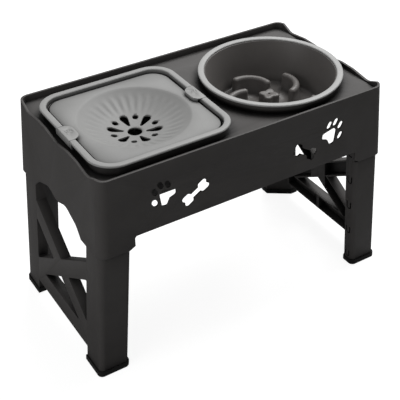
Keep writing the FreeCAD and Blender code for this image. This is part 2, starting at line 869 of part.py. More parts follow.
def build_water_bowl():
    body = new_body("water_bowl")
    place_body(body, -bowl_x, bowl_y)
    half = S["square_body_half"]
    radius = S["square_body_radius"]
    wall = S["bowl_wall"]
    straight = ring_under - S["square_straight_depth"]
    bottom = ring_under - S["water_bowl_depth"]
    narrow = S["square_draft_share"] * (ring_under - straight)
    tuck = S["square_bottom_inset"]

    def level_square(name, level, inset, corner):
        sketch = new_sketch(body, "XY", name, level)
        add_square(sketch, half - inset, half - inset, corner)
        return sketch

    loft(body, [level_square("body_foot", bottom, narrow + tuck, radius - tuck / 2),
                level_square("body_bend", straight, narrow, radius),
                level_square("body_top", ring_under, 0, radius)])
    skirt = new_sketch(body, "XY", "skirt", deck_top)
    edge = S["square_ring_half"] - S["skirt_inset"]
    add_square(skirt, edge, edge, S["square_ring_radius"] - S["skirt_inset"])
    pad(body, skirt, ring_under - deck_top)
    loft(body, [level_square("inside_foot", bottom + wall, narrow + tuck + wall, radius - tuck / 2 - wall),
                level_square("inside_bend", straight, narrow + wall, radius - wall),
                level_square("inside_top", ring_under, wall, radius - wall)], grows=False)
    rebate = new_sketch(body, "XY", "lip_rebate", ring_under)
    width = S["square_ring_width"] - S["ring_lip_wall"] - S["ring_lip_gap"]
    edge = S["square_ring_half"] - width
    add_square(rebate, edge, edge, S["square_ring_radius"] - width)
    pocket(body, rebate, S["ring_lip_depth"] + S["ring_lip_gap"])
    return body


hinge_x = S["square_ring_half"] - S["hinge_inset"]
hinge_z = S["ring_height"] - S["hinge_drop"]


def add_hinge_lugs(body, side):
    """Two ears under the ring's edge that carry a clip's trunnions."""
    for end in (-1, 1):
        start = S["clip_half_length"] + S["clip_side_gap"]
        height = -end * start
        lug = new_sketch(body, "XZ", "lug", height)
        radius = S["hinge_lug_radius"]
        inside = S["square_ring_half"] - S["skirt_inset"] + S["lug_gap"]
        outside = S["square_ring_half"]
        add_outline(lug, [
            (side * inside, hinge_z - radius), (side * outside, hinge_z - radius, radius * 0.7),
            (side * outside, ring_under + S["ring_thickness"] / 2),
            (side * inside, ring_under + S["ring_thickness"] / 2),
        ])
        pad(body, lug, S["hinge_lug_width"], reverse=end > 0)
        bore = new_sketch(body, "XZ", "lug_bore", height)
        add_circle(bore, side * hinge_x, hinge_z, S["hinge_pin_radius"] + S["hinge_play"])
        pocket(body, bore, S["hinge_lug_width"], reverse=end < 0)


def build_water_ring():
    body = new_body("water_bowl_ring")
    place_body(body, -bowl_x, bowl_y)
    half = S["square_ring_half"]
    outer = new_sketch(body, "XY", "ring_outline", ring_under)
    add_square(outer, half, half, S["square_ring_radius"])
    pad(body, outer, S["ring_thickness"])
    lip = new_sketch(body, "XY", "ring_lip", ring_under)
    width = S["square_ring_width"] - S["ring_lip_wall"]
    add_square(lip, half - width, half - width, S["square_ring_radius"] - width)
    pad(body, lip, S["ring_lip_depth"], reverse=True)
    inner = new_sketch(body, "XY", "ring_mouth", S["ring_height"])
    width = S["square_ring_width"]
    add_square(inner, half - width, half - width, S["square_ring_radius"] - width)
    pocket(body, inner, S["ring_thickness"] + S["ring_lip_depth"])
    for side in (-1, 1):
        add_clip_notch(body, side)
        add_hinge_lugs(body, side)
    return body


def add_clip_notch(body, side):
    """The ring steps down and its edge steps in, so that a closed clip lies flush with it."""
    reach = S["clip_half_length"] + S["clip_side_gap"]
    over = S["overrun"]
    far = S["square_ring_half"] + over
    step = new_sketch(body, "XY", "clip_step", S["ring_height"])
    near = S["square_ring_half"] - S["square_ring_width"] - over
    add_outline(step, [
        (side * near, -reach), (side * far, -reach), (side * far, reach), (side * near, reach),
    ])
    pocket(body, step, S["clip_thickness"] + S["clip_gap"])
    edge = new_sketch(body, "XY", "clip_edge", S["ring_height"])
    near = S["square_ring_half"] - S["skirt_inset"] + S["clip_gap"]
    add_outline(edge, [
        (side * near, -reach), (side * far, -reach), (side * far, reach), (side * near, reach),
    ])
    pocket(body, edge, S["ring_thickness"])


def build_float_plate():
    body = new_body("float_plate")
    place_body(body, -bowl_x, bowl_y)
    half = S["plate_half"]
    skin = S["plate_thickness"]
    outline = new_sketch(body, "XY", "plate_outline", plate_top)
    add_square(outline, half, half, S["plate_radius"])
    pad(body, outline, S["plate_edge_depth"], reverse=True)
    under = new_sketch(body, "XY", "plate_under", plate_top - skin)
    add_square(under, half - skin, half - skin, S["plate_radius"] - skin)
    pocket(body, under, S["plate_edge_depth"])

    mouth = S["dish_radius"]
    deep = S["dish_depth"]
    ball = (mouth * mouth + deep * deep) / (2 * deep)
    cap_centre = plate_top - deep + ball
    add_cap(body, "dish_under", mouth + skin, plate_top - skin / 2, cap_centre, ball + skin, True)
    add_cap(body, "dish_inside", mouth, plate_top, cap_centre, ball, False)

    floor = plate_top - deep - skin - S["overrun"]
    drill = deep + skin + 2 * S["overrun"]
    drain = new_sketch(body, "XY", "drain", floor)
    add_circle(drain, 0, 0, S["drain_radius"])
    pocket(body, drain, drill, reverse=True)
    petal = new_sketch(body, "XY", "petal", floor)
    start = turned(S["petal_start"], 0, 30, size(0), size(0))
    end = turned(S["petal_end"] - S["petal_outer_radius"], 0, 30, size(0), size(0))
    add_slot(petal, start, S["petal_inner_radius"], end, S["petal_outer_radius"])
    repeat_round(body, pocket(body, petal, drill, reverse=True), 6, False)
    spot = new_sketch(body, "XY", "spot", floor)
    add_circle(spot, S["spot_circle"], 0, S["spot_radius"])
    repeat_round(body, pocket(body, spot, drill, reverse=True), 6, False)
    return body


def add_cap(body, name, reach, level, centre, ball, grows):
    """A cap of a ball below a level, added or cut."""
    sketch = new_sketch(body, "XZ", name)
    bottom = Vector(0, centre.value - ball.value, 0)
    drop = centre.value - level.value
    edge = math.sqrt(ball.value ** 2 - drop ** 2)
    rim = Vector(edge, level.value, 0)
    half = math.atan2(edge, drop) / 2
    middle = Vector(math.sin(half), -math.cos(half), 0) * ball.value + Vector(0, centre.value, 0)
    arc, low_end, high_end = add_arc(sketch, bottom, middle, rim)
    top = sketch.addGeometry(Part.LineSegment(rim, Vector(0, level.value, 0)), False)
    axis = sketch.addGeometry(Part.LineSegment(Vector(0, level.value, 0), bottom), False)
    sketch.addConstraint(Sketcher.Constraint("Coincident", arc, high_end, top, 1))
    sketch.addConstraint(Sketcher.Constraint("Coincident", top, 2, axis, 1))
    sketch.addConstraint(Sketcher.Constraint("Coincident", axis, 2, arc, low_end))
    sketch.addConstraint(Sketcher.Constraint("Horizontal", top))
    pin(sketch, arc, 3, 0, centre)
    round_to(sketch, arc, ball)
    pin(sketch, top, 2, 0, level)
    sketch.addConstraint(Sketcher.Constraint("PointOnObject", axis, 2, -2))
    return turn(body, sketch, grows)


def build_clip(label, side):
    """A clip hinged on the bowl's skirt that reaches over the ring and the float plate."""
    body = new_body(label)
    place_body(body, -bowl_x, bowl_y)
    length = 2 * S["clip_half_length"]
    arm = S["clip_arm"]
    top = S["ring_height"]
    ring_in = S["square_ring_half"] - S["square_ring_width"]
    under = top - S["clip_thickness"]
    outer = S["square_ring_half"]
    tip = outer - S["clip_reach"]
    lip_root = ring_in - S["clip_lip_gap"]

    profile = new_sketch(body, "XZ", "clip_profile")
    gap = S["plate_gap"]
    add_outline(profile, [
        (side * outer, hinge_z), (side * outer, top, arm * 0.4), (side * tip, top, S["clip_thickness"] / 2),
        (side * tip, plate_top + gap), (side * lip_root, plate_top + gap),
        (side * lip_root, under), (side * (outer - arm), under),
        (side * (outer - arm), hinge_z),
    ])
    pad(body, profile, length, symmetric=True)
    barrel = new_sketch(body, "XZ", "barrel")
    add_circle(barrel, side * hinge_x, hinge_z, S["hinge_barrel_radius"])
    pad(body, barrel, length, symmetric=True)
    pins = new_sketch(body, "XZ", "trunnions")
    add_circle(pins, side * hinge_x, hinge_z, S["hinge_pin_radius"])
    pad(body, pins, length + 2 * S["hinge_pin_length"], symmetric=True)
    for end in (-1, 1):
        nose = new_sketch(body, "XY", "nose", top)
        edge = end * S["clip_half_length"]
        corner = S["clip_nose_radius"]
        add_outline(nose, [
            (side * (tip - arm), edge + end * arm), (side * (tip - arm), edge - end * (corner + arm / 2)),
            (side * tip, edge - end * (corner + arm / 2)), (side * tip, edge, corner),
            (side * (tip + corner + arm / 2), edge), (side * (tip + corner + arm / 2), edge + end * arm),
        ])
        pocket(body, nose, S["hinge_drop"] + S["overrun"])
    return body


# Slow feeder bowl and its ring

def build_food_bowl():
    """Drawn with a ridge's centre on the x axis, and turned into place."""
    body = new_body("food_bowl")
    place_body(body, bowl_x, bowl_y, FEEDER_TURN)
    wall = S["bowl_wall"]
    outside = S["round_body_radius"]
    waist = S["round_waist_radius"]
    floor = ring_under - S["food_bowl_depth"]
    waist_z = ring_under - S["round_waist_depth"]
    base = S["round_floor_radius"]
    skirt = S["round_ring_radius"] - S["skirt_inset"]
    profile = new_sketch(body, "XZ", "bowl_profile")
    add_outline(profile, [
        (0, floor - wall), (base + wall, floor - wall, S["round_floor_curve"] + wall),
        (waist + wall, waist_z, S["wave_radius"]),
        (outside, deck_top), (skirt, deck_top), (skirt, ring_under), (outside - wall, ring_under),
        (waist, waist_z, S["wave_radius"]), (base, floor, S["round_floor_curve"]), (0, floor),
    ])
    turn(body, profile)

    ridge = new_sketch(body, "XY", "ridge", floor)
    add_ridge(ridge)
    repeat_round(body, pad(body, ridge, S["ridge_height"]), 5, True)
    post = new_sketch(body, "XY", "post", floor)
    corners = []
    for lobe in range(4):
        heading = POST_TURN + 90 * lobe
        for across in (-1, 1):
            corner = turned(S["post_tip"], across * S["post_half_tip"], heading, size(0), size(0))
            corners.append(corner + (S["post_round"],))
        corners.append(turned(S["post_waist"], 0, heading + 45, size(0), size(0)) + (S["post_round"] / 3,))
    add_outline(post, corners)
    pad(body, post, S["post_height"])
    return body


def add_ridge(sketch):
    """A curved wall: two arcs about one centre with round ends."""
    centre = Vector(S["ridge_circle"].value, 0, 0)
    first, last = math.radians(RIDGE_ENDS[0]), math.radians(RIDGE_ENDS[1])
    half = S["ridge_half_width"]

    def at(radius, angle):
        return centre + Vector(math.cos(angle), math.sin(angle), 0) * radius

    mean = S["ridge_radius"].value
    inner_r, outer_r = mean - half.value, mean + half.value
    middle = (first + last) / 2
    outer, outer_in, outer_out = add_arc(sketch, at(outer_r, first), at(outer_r, middle), at(outer_r, last))
    inner, inner_in, inner_out = add_arc(sketch, at(inner_r, last), at(inner_r, middle), at(inner_r, first))
    for geo, radius in ((outer, S["ridge_radius"] + half), (inner, S["ridge_radius"] - half)):
        pin(sketch, geo, 3, S["ridge_circle"], 0)
        round_to(sketch, geo, radius)
    for angle, sense, entry, leave in (
        (last, 1, (outer, outer_out), (inner, inner_in)),
        (first, -1, (inner, inner_out), (outer, outer_in)),
    ):
        tip = at(mean, angle) + Vector(-math.sin(angle), math.cos(angle), 0) * (sense * half.value)
        start, end = (outer_r, inner_r) if sense > 0 else (inner_r, outer_r)
        geo, near, far = add_arc(sketch, at(start, angle), tip, at(end, angle))
        sketch.addConstraint(Sketcher.Constraint("Tangent", entry[0], entry[1], geo, near))
        sketch.addConstraint(Sketcher.Constraint("Tangent", geo, far, leave[0], leave[1]))
        if sense > 0:
            pin(sketch, geo, 3, None, S["ridge_radius"] * math.sin(angle))
        else:
            pin(sketch, geo, 3, S["ridge_circle"] + S["ridge_radius"] * math.cos(angle), None)


def build_food_ring():
    body = new_body("food_bowl_ring")
    place_body(body, bowl_x, bowl_y)
    outer = new_sketch(body, "XY", "ring_outline", ring_under)
    add_circle(outer, 0, 0, S["round_ring_radius"])
    pad(body, outer, S["ring_thickness"])
    inner = new_sketch(body, "XY", "ring_mouth", S["ring_height"])
    add_circle(inner, 0, 0, S["round_ring_radius"] - S["round_ring_width"])
    pocket(body, inner, S["ring_thickness"])
    return body


pieces = [
    build_stand_top(),
    build_end_frame("left_end_frame", 1),
    build_end_frame("right_end_frame", -1),
    build_foot("front_left_foot", 1, -1),
    build_foot("rear_left_foot", 1, 1),
    build_foot("front_right_foot", -1, -1),
    build_foot("rear_right_foot", -1, 1),
    build_water_bowl(),
    build_water_ring(),
    build_float_plate(),
    build_clip("left_ring_clip", -1),
    build_clip("right_ring_clip", 1),
    build_food_bowl(),
    build_food_ring(),
]
doc.recompute()

for obj in doc.Objects:
    if "Invalid" in obj.State or "Error" in obj.State:
        raise RuntimeError("%s is %s" % (obj.Label, obj.State))
for piece in pieces:
    shape = piece.Shape
    if shape.isNull() or not shape.isValid():
        raise RuntimeError("%s has a bad shape" % piece.Label)
    print("%-18s solids %d  volume %.1f cm3" % (piece.Label, len(shape.Solids), shape.Volume / 1000))
for piece in pieces:
    piece.Shape.exportStep("parts/%s.step" % piece.Label)
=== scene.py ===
import json
import math

import bmesh
import bpy
from mathutils import Matrix, Vector


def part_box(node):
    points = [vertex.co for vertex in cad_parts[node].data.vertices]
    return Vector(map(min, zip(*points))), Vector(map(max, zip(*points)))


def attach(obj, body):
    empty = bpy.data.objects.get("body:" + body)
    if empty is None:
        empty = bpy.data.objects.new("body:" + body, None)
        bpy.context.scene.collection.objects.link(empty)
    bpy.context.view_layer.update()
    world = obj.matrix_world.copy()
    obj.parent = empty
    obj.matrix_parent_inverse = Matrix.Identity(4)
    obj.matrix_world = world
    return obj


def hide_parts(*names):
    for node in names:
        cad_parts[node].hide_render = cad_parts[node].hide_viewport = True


# Raised feeding stand with a square no-spill water bowl and a round slow feeder.
# Sizes are in millimetres, and MM turns them to metres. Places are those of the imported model.

MM = 0.001
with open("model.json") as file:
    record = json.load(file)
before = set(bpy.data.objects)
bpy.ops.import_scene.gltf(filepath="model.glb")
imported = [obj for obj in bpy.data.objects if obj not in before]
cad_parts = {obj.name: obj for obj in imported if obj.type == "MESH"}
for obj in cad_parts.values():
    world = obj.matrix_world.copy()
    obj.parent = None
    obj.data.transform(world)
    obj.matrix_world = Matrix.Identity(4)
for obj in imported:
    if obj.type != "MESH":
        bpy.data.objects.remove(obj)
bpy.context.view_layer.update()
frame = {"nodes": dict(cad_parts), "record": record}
nodes = frame["nodes"]
body_of = {node: body for body, members in frame["record"]["behaviour"]["bodies"].items() for node in members}


def corners(node):
    """A solid's lowest and highest corners, in millimetres."""
    return [[round(value / MM, 2) for value in corner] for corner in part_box(node)]


# Places and levels read from the solids
ring_low, ring_high = corners("water_bowl_ring")
food_ring_high = corners("food_bowl_ring")[1]
bowl_low, bowl_high = corners("water_bowl")
plate_low, plate_high = corners("float_plate")

BOWL_X = -(ring_low[0] + ring_high[0]) / 2
BOWL_Y = (ring_low[1] + ring_high[1]) / 2
WATER = Vector((-BOWL_X * MM, BOWL_Y * MM, 0))
FOOD = Vector((BOWL_X * MM, BOWL_Y * MM, 0))

RING_HALF = (ring_high[0] - ring_low[0]) / 2
RING_RADIUS = food_ring_high[0] - BOWL_X
RING_TOP = ring_high[2]
RING_UNDER = bowl_high[2]
PLATE_HALF = (plate_high[0] - plate_low[0]) / 2
PLATE_TOP = plate_high[2]
# The deck's upper face, on which both bowls' skirts stand
DECK = 291.5

# Vertices in a loop round a bowl or a ring
AROUND = 192
# Flutes round the float plate's dish
FLUTES = 32


# Materials

POLYMER_IOR = 1.49
# Satin and matte mouldings scatter most of what they would mirror
SPECULAR_LEVEL = 0.3
# Faint streaks where the melt flowed, spaced this far
FLOW_SPACING = 45
FLOW_EDGES = (0.32, 0.68)
# Share of open sky at the bottom of a seam, where the painted shade is deepest, and over a free face, where
# it ends
SEAM_SKY = 0.42
FREE_SKY = 0.94
ROUGHNESS_SPREAD = 0.05


def linear(hex_colour):
    """An sRGB hex colour as linear red, green, blue and alpha."""
    channels = [int(hex_colour[i:i + 2], 16) / 255 for i in (1, 3, 5)]
    return [c / 12.92 if c <= 0.04045 else ((c + 0.055) / 1.055) ** 2.4 for c in channels] + [1.0]


def add(tree, kind, settings=None, **links):
    """Adds a node; settings are its attributes or socket values, links feed its inputs."""
    node = tree.nodes.new(kind)
    for name, value in (settings or {}).items():
        if name in node.inputs:
            node.inputs[name].default_value = value
        else:
            setattr(node, name, value)
    for name, source in links.items():
        tree.links.new(source, node.inputs[name])
    return node


def moulded_plastic(name, tone, shade, roughness, grain, relief, sheen=0.0, recess=12.0, depth=0.3):
    """A moulded plastic with a fine grain, and painted shade that darkens its colour in seams and recesses.

    tone and shade are the colour and its darker streaks, grain the spacing and relief the height of
    the moulded grain, recess how far the painted shade reaches into a recess, and depth the share of the
    colour that the painted shade leaves at its bottom. Lengths are in millimetres.
    """
    material = bpy.data.materials.new(name)
    material.use_nodes = True
    tree = material.node_tree
    shader = tree.nodes["Principled BSDF"]
    shader.inputs["IOR"].default_value = POLYMER_IOR
    shader.inputs["Specular IOR Level"].default_value = SPECULAR_LEVEL
    shader.inputs["Sheen Weight"].default_value = sheen
    place = add(tree, "ShaderNodeTexCoord").outputs["Object"]

    flow_look = {"Scale": 1 / (FLOW_SPACING * MM), "Detail": 3.0, "Roughness": 0.55}
    flow = add(tree, "ShaderNodeTexNoise", flow_look, Vector=place)
    streaks = add(tree, "ShaderNodeValToRGB", Fac=flow.outputs["Fac"])
    for stop, position, colour in zip(streaks.color_ramp.elements, FLOW_EDGES, (shade, tone)):
        stop.position = position
        stop.color = linear(colour)

    # Painted shade: the colour is darkened where little open sky reaches the surface, in seams and recesses
    sky = add(tree, "ShaderNodeAmbientOcclusion", {"Distance": recess * MM, "samples": 8})
    painted_shade_range = {"From Min": SEAM_SKY, "From Max": FREE_SKY, "To Min": depth, "To Max": 1.0}
    painted_shade = add(tree, "ShaderNodeMapRange", painted_shade_range, Value=sky.outputs["AO"])
    colour_with_painted_shade = add(tree, "ShaderNodeVectorMath", {"operation": "SCALE"},
                 Vector=streaks.outputs["Color"], Scale=painted_shade.outputs["Result"])
    tree.links.new(colour_with_painted_shade.outputs["Vector"], shader.inputs["Base Color"])

    grains = add(tree, "ShaderNodeTexNoise", {"Scale": 1 / (grain * MM), "Detail": 2.0}, Vector=place)
    spread = {"To Min": roughness - ROUGHNESS_SPREAD, "To Max": roughness + ROUGHNESS_SPREAD}
    rough = add(tree, "ShaderNodeMapRange", spread, Value=grains.outputs["Fac"])
    tree.links.new(rough.outputs["Result"], shader.inputs["Roughness"])
    bump = add(tree, "ShaderNodeBump", {"Strength": 0.5, "Distance": relief * MM},
               Height=grains.outputs["Fac"])
    tree.links.new(bump.outputs["Normal"], shader.inputs["Normal"])
    return material


# Polypropylene moulded in a spark-eroded tool: a fine matte grain, near black, soft highlights
stand_black = moulded_plastic(
    "moulded polypropylene, black", "#484645", "#434140",
    roughness=0.58, grain=0.9, relief=0.05, recess=16.0, depth=0.15)
# The end frames are the same polymer from a smoother tool, with painted shade that takes their deep channels
# nearly to black
frame_black = moulded_plastic(
    "moulded polypropylene, black, frames", "#484645", "#434140",
    roughness=0.54, grain=0.9, relief=0.04, recess=22.0, depth=0.05)
# The water bowl is the same polymer, polished so that it wipes clean
bowl_black = moulded_plastic(
    "polished polypropylene, charcoal", "#4a4847", "#454342",
    roughness=0.42, grain=1.2, relief=0.02, recess=14.0, depth=0.05)
# The feeder is the same black polymer, painted lighter to stand in for light that its steep inner walls don't
# get
feeder_black_painted_lighter = moulded_plastic(
    "polished polypropylene, black, painted lighter", "#686563", "#625f5d",
    roughness=0.40, grain=1.2, relief=0.02, recess=14.0, depth=0.1)
# Light grey ABS trim with a satin moulded face
ring_grey = moulded_plastic(
    "satin ABS, light grey", "#989897", "#929291",
    roughness=0.52, grain=0.8, relief=0.02)
# The trim round the feeder is a touch lighter
food_ring_grey = moulded_plastic(
    "satin ABS, lighter grey", "#a5a5a4", "#9f9f9e",
    roughness=0.50, grain=0.8, relief=0.02)
# The float plate is the same ABS, a shade darker, with painted shade that reaches far enough to darken the
# inside of its dish
plate_grey = moulded_plastic(
    "satin ABS, mid grey", "#8f8f8e", "#8a8a89",
    roughness=0.55, grain=0.8, relief=0.02, recess=30.0, depth=0.25)
# Thermoplastic rubber: matte, a little chalky
foot_rubber = moulded_plastic(
    "thermoplastic rubber, black", "#0f0e0e", "#0c0b0b",
    roughness=0.72, grain=0.7, relief=0.06, sheen=0.1)


# Shaping tools, which take millimetres

# Points closer than this are one point, in a new piece and in a solid's triangles
WELD = 0.0005
SOLID_WELD = 0.002
# In degrees: faces that meet at less are one flat face, and at more they have an edge between them
FLAT_ANGLE = 0.05
EDGE_ANGLE = 32


def polar(angle, reach, middle=(0, 0)):
    """A point on a circle round a middle."""
    return middle[0] + math.cos(angle) * reach, middle[1] + math.sin(angle) * reach


def arc(middle, radius, first, last, steps):
    """The points of an arc from one angle to another, both included."""
    return [polar(first + (last - first) * step / steps, radius, middle) for step in range(steps + 1)]


def circle(middle, radius, steps):
    """The points of a full circle."""
    return [polar(math.tau * step / steps, radius, middle) for step in range(steps)]


def square_reach(angle, half, corner):
    """How far a ray from the middle goes to meet a rounded square."""
    across, along = abs(math.cos(angle)), abs(math.sin(angle))
    reach = half / max(across, along)
    centre = half - corner
    if reach * min(across, along) <= centre:
        return reach
    near = (across + along) * centre
    return near + math.sqrt(near * near - 2 * centre * centre + corner * corner)


def shaped_loop(bm, around, place):
    """A closed edge loop whose vertices go where place(share of the way round) says."""
    made = bmesh.ops.create_circle(bm, cap_ends=False, radius=1.0, segments=around)
    for vert in made["verts"]:
        step = round(math.atan2(vert.co.y, vert.co.x) / math.tau * around) % around
        vert.co = [value * MM for value in place(step / around)]
    verts = set(made["verts"])
    return [edge for edge in bm.edges if edge.verts[0] in verts and edge.verts[1] in verts]


def square_loop(bm, half, corner, level, around=AROUND):
    """A rounded square at a level."""
    def place(share):
        angle = share * math.tau
        return (*polar(angle, square_reach(angle, half, corner)), level)
    return shaped_loop(bm, around, place)


def round_loop(bm, radius, level, around=AROUND, ripple=0.0):
    """A circle at a level; ripple is the height of the flutes that run over it."""
    def place(share):
        angle = share * math.tau
        return (*polar(angle, radius), level + ripple * math.cos(FLUTES * angle))
    return shaped_loop(bm, around, place)


def bridge(bm, loops, closed=False):
    """Skins a row of loops; closed joins the last to the first.

    Loops that lie in one plane would twist, so the second of each pair is lifted meanwhile.
    """
    pairs = list(zip(loops, loops[1:]))
    if closed:
        pairs.append((loops[-1], loops[0]))
    lift = Vector((0, 0, 0.1))
    for first, second in pairs:
        moved = list({vert for edge in second for vert in edge.verts})
        bmesh.ops.translate(bm, verts=moved, vec=lift)
        bmesh.ops.bridge_loops(bm, edges=first + second)
        bmesh.ops.translate(bm, verts=moved, vec=-lift)


def cap_ends(bm, loops):
    for loop in (loops[0], loops[-1]):
        bmesh.ops.contextual_create(bm, geom=loop)


def prism(bm, outline, push):
    """A closed prism: a flat outline of points, extruded by a vector."""
    face = bm.faces.new([bm.verts.new([value * MM for value in point]) for point in outline])
    grown = bmesh.ops.extrude_face_region(bm, geom=[face])
    moved = [item for item in grown["geom"] if isinstance(item, bmesh.types.BMVert)]
    bmesh.ops.translate(bm, verts=moved, vec=[value * MM for value in push])


def side_slab(bm, side, outline, start, depth):
    """A prism along y, on the left (-1) or right (1) side of the bowl, from an outline of (x, z)."""
    prism(bm, [(side * x, start, z) for x, z in outline], (0, depth, 0))


def new_object(name, bm, material, smooth=True):
    """Turns a bmesh into an object of one material."""
    mesh = bpy.data.meshes.new(name)
    bm.to_mesh(mesh)
    bm.free()
    if smooth:
        mesh.shade_smooth()
    mesh.materials.append(material)
    piece = bpy.data.objects.new(name, mesh)
    bpy.context.scene.collection.objects.link(piece)
    return piece


def make_piece(name, bm, place, material, smooth=True):
    """A finished bmesh as an object, with its place in its mesh."""
    bmesh.ops.translate(bm, verts=bm.verts, vec=place)
    bmesh.ops.remove_doubles(bm, verts=bm.verts, dist=WELD * MM)
    bmesh.ops.recalc_face_normals(bm, faces=bm.faces)
    return new_object(name, bm, material, smooth)


def round_edges(piece, width, segments=2):
    """Rounds every edge sharper than a moulding's own soft bends."""
    edge = piece.modifiers.new("rounded edges", "BEVEL")
    edge.width = width * MM
    edge.segments = segments
    edge.limit_method = "ANGLE"
    edge.angle_limit = math.radians(EDGE_ANGLE)
    edge.use_clamp_overlap = True
    edge.harden_normals = True
    edge.miter_outer = "MITER_ARC"


def apply_modifiers(piece):
    graph = bpy.context.evaluated_depsgraph_get()
    finished = bpy.data.meshes.new_from_object(piece.evaluated_get(graph))
    piece.modifiers.clear()
    old = piece.data
    piece.data = finished
    bpy.data.meshes.remove(old)


def combine(piece, other, operation):
    """Joins or cuts one piece with another, and drops the other."""
    work = piece.modifiers.new("combine", "BOOLEAN")
    work.operation = operation
    work.solver = "EXACT"
    work.object = other
    apply_modifiers(piece)
    bpy.data.objects.remove(other)


def softened(node, name, material, width):
    """A CAD node's shape with its sharp edges eased, as they leave a mould."""
    bm = bmesh.new()
    bm.from_mesh(nodes[node].data)
    bmesh.ops.remove_doubles(bm, verts=bm.verts, dist=SOLID_WELD * MM)
    bmesh.ops.dissolve_limit(bm, angle_limit=math.radians(FLAT_ANGLE), verts=bm.verts, edges=bm.edges)
    piece = new_object(name, bm, material)
    round_edges(piece, width)
    return piece


def settle(piece, node):
    """Puts a piece in its node's stead, on that node's body."""
    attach(piece, body_of[node])
    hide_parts(node)


# Camera, at the photograph's viewing angle: from 31.75 degrees left of the front, 36.5 degrees up

LENS = 81.02
SENSOR = 36.0
EYE = Vector((-0.5449, -0.8731, 0.8863))
FORWARD = Vector((0.42273, 0.68316, -0.59548))
RIGHTWARD = Vector((0.84782, -0.53025, -0.00645))
UPWARD = Vector((0.32016, 0.50213, 0.80335))

camera_data = bpy.data.cameras.new("camera")
camera_data.lens = LENS
camera_data.sensor_width = SENSOR
camera = bpy.data.objects.new("camera", camera_data)
bpy.context.scene.collection.objects.link(camera)
turn = Matrix((RIGHTWARD, UPWARD, -FORWARD)).transposed().to_4x4()
camera.matrix_world = Matrix.Translation(EYE) @ turn
bpy.context.scene.camera = camera


# Stand, end frames and feet, which keep the solids' shapes with eased edges

# Node, slot, material and the width of the eased edges
SOFTENED = [("stand_top", "stand_plastic", stand_black, 0.9)]
for side in ("left", "right"):
    SOFTENED.append((side + "_end_frame", "frame_plastic", frame_black, 0.7))
for corner in ("front_left", "front_right", "rear_left", "rear_right"):
    SOFTENED.append((corner + "_foot", "foot_rubber", foot_rubber, 0.8))

for node, slot, material, width in SOFTENED:
    settle(softened(node, node + "_shell", material, width), node)


# Water bowl

# How far the corners of the rim and of its ring are centred from the bowl's middle, each way
CORNER_CENTRE = 63.0
# How far the rings overhang the bowls' skirts
RING_OVERHANG = 3.0
REBATE_WIDTH = 4.0
REBATE_LEVEL = 299.4
# Half width and corner radius of the flat bottom, of the neck under the skirt and of the mouth
BOTTOM = (70.0, 21.0)
NECK = (89.6, 28.0)
MOUTH = (87.1, 25.5)
# Half width, corner radius and level of the bends, up the outside and down the inside
OUTER_BENDS = ((77.4, 22.5, 229.5), (84.5, 26.0, 239.0), (88.4, 28.0, 249.2))
INNER_BENDS = ((85.9, 25.5, 249.2), (82.0, 23.5, 240.6), (75.5, 20.5, 232.2), (68.0, 19.0, 228.7))


def water_bowl():
    skirt = RING_HALF - RING_OVERHANG
    rebate = skirt - REBATE_WIDTH
    rim = [(skirt, skirt - CORNER_CENTRE, DECK), (skirt, skirt - CORNER_CENTRE, RING_UNDER),
           (rebate, rebate - CORNER_CENTRE, RING_UNDER), (rebate, rebate - CORNER_CENTRE, REBATE_LEVEL)]
    outside = [(*BOTTOM, bowl_low[2]), *OUTER_BENDS, (*NECK, DECK)]
    inside = [(*MOUTH, REBATE_LEVEL), *INNER_BENDS]
    bm = bmesh.new()
    loops = [square_loop(bm, *bend) for bend in outside + rim + inside]
    bridge(bm, loops)
    cap_ends(bm, loops)
    piece = make_piece("water_bowl_shell", bm, WATER, bowl_black)
    round_edges(piece, width=0.6, segments=3)
    return piece


# Trim rings on both bowls, and the ears on the square one that carry the clips' pins

RING_WIDTH = 8.5
# The rounded top: how far down or in from the ring's top and sides its bends are
SHOULDER = 1.2
SHOULDER_EASE = 0.3
OUTER_EASE = 0.8
INNER_EASE = 0.9
CROWN_EDGE = 2.4
# The lip under the square ring
LIP_DEPTH = 3.5
LIP_THICKNESS = 1.2

# A clip's notch: half its length, its floor, the ring's edge in it, and how low it cuts outside that edge
NOTCH = 17.8
NOTCH_FLOOR = 304.15
NOTCH_EDGE = 94.25
NOTCH_LOW = 302.0
# Where the notches' cutting shape ends, clear of the ring on the inside, on the outside and above
CLEAR_INNER = 87.0
CLEAR_OUTER = 99.0
CLEAR_TOP = 308.0

# The pins' bores and the ears, as distances from the bowl's middle, levels and sizes
PIN_REACH = 95.75
PIN_LEVEL = 296.0
PIN_BORE = 0.85
LUG_INNER = 94.4
LUG_OUTER = 96.9
LUG_CURVE = 1.2
LUG_WIDTH = 3.6
LUG_ROOT = 1.3
# How far the bores' cutting shape stands out of the ears
BORE_SPARE = 2.0


def ring_section(outer):
    """The rings' section, slightly crowned: distance from the middle, and level."""
    inner = outer - RING_WIDTH
    shoulder = RING_TOP - SHOULDER
    ease = RING_TOP - SHOULDER_EASE
    return [
        (outer, RING_UNDER), (outer, shoulder), (outer - OUTER_EASE, ease), (outer - CROWN_EDGE, RING_TOP),
        (inner + CROWN_EDGE, RING_TOP), (inner + INNER_EASE, ease), (inner, shoulder), (inner, RING_UNDER),
    ]


def hinge_lugs():
    """Four ears under the ring, two a side."""
    low = ring_low[2]
    top = RING_UNDER + LUG_ROOT
    curve = (LUG_OUTER - LUG_CURVE, low + LUG_CURVE)
    outline = [(LUG_INNER, top), (LUG_INNER, low)]
    outline += arc(curve, LUG_CURVE, -math.pi / 2, 0, steps=6)
    outline.append((LUG_OUTER, top))
    bm = bmesh.new()
    for side in (-1, 1):
        for end in (-1, 1):
            side_slab(bm, side, outline, end * NOTCH, end * LUG_WIDTH)
    return make_piece("hinge_lugs", bm, WATER, ring_grey)


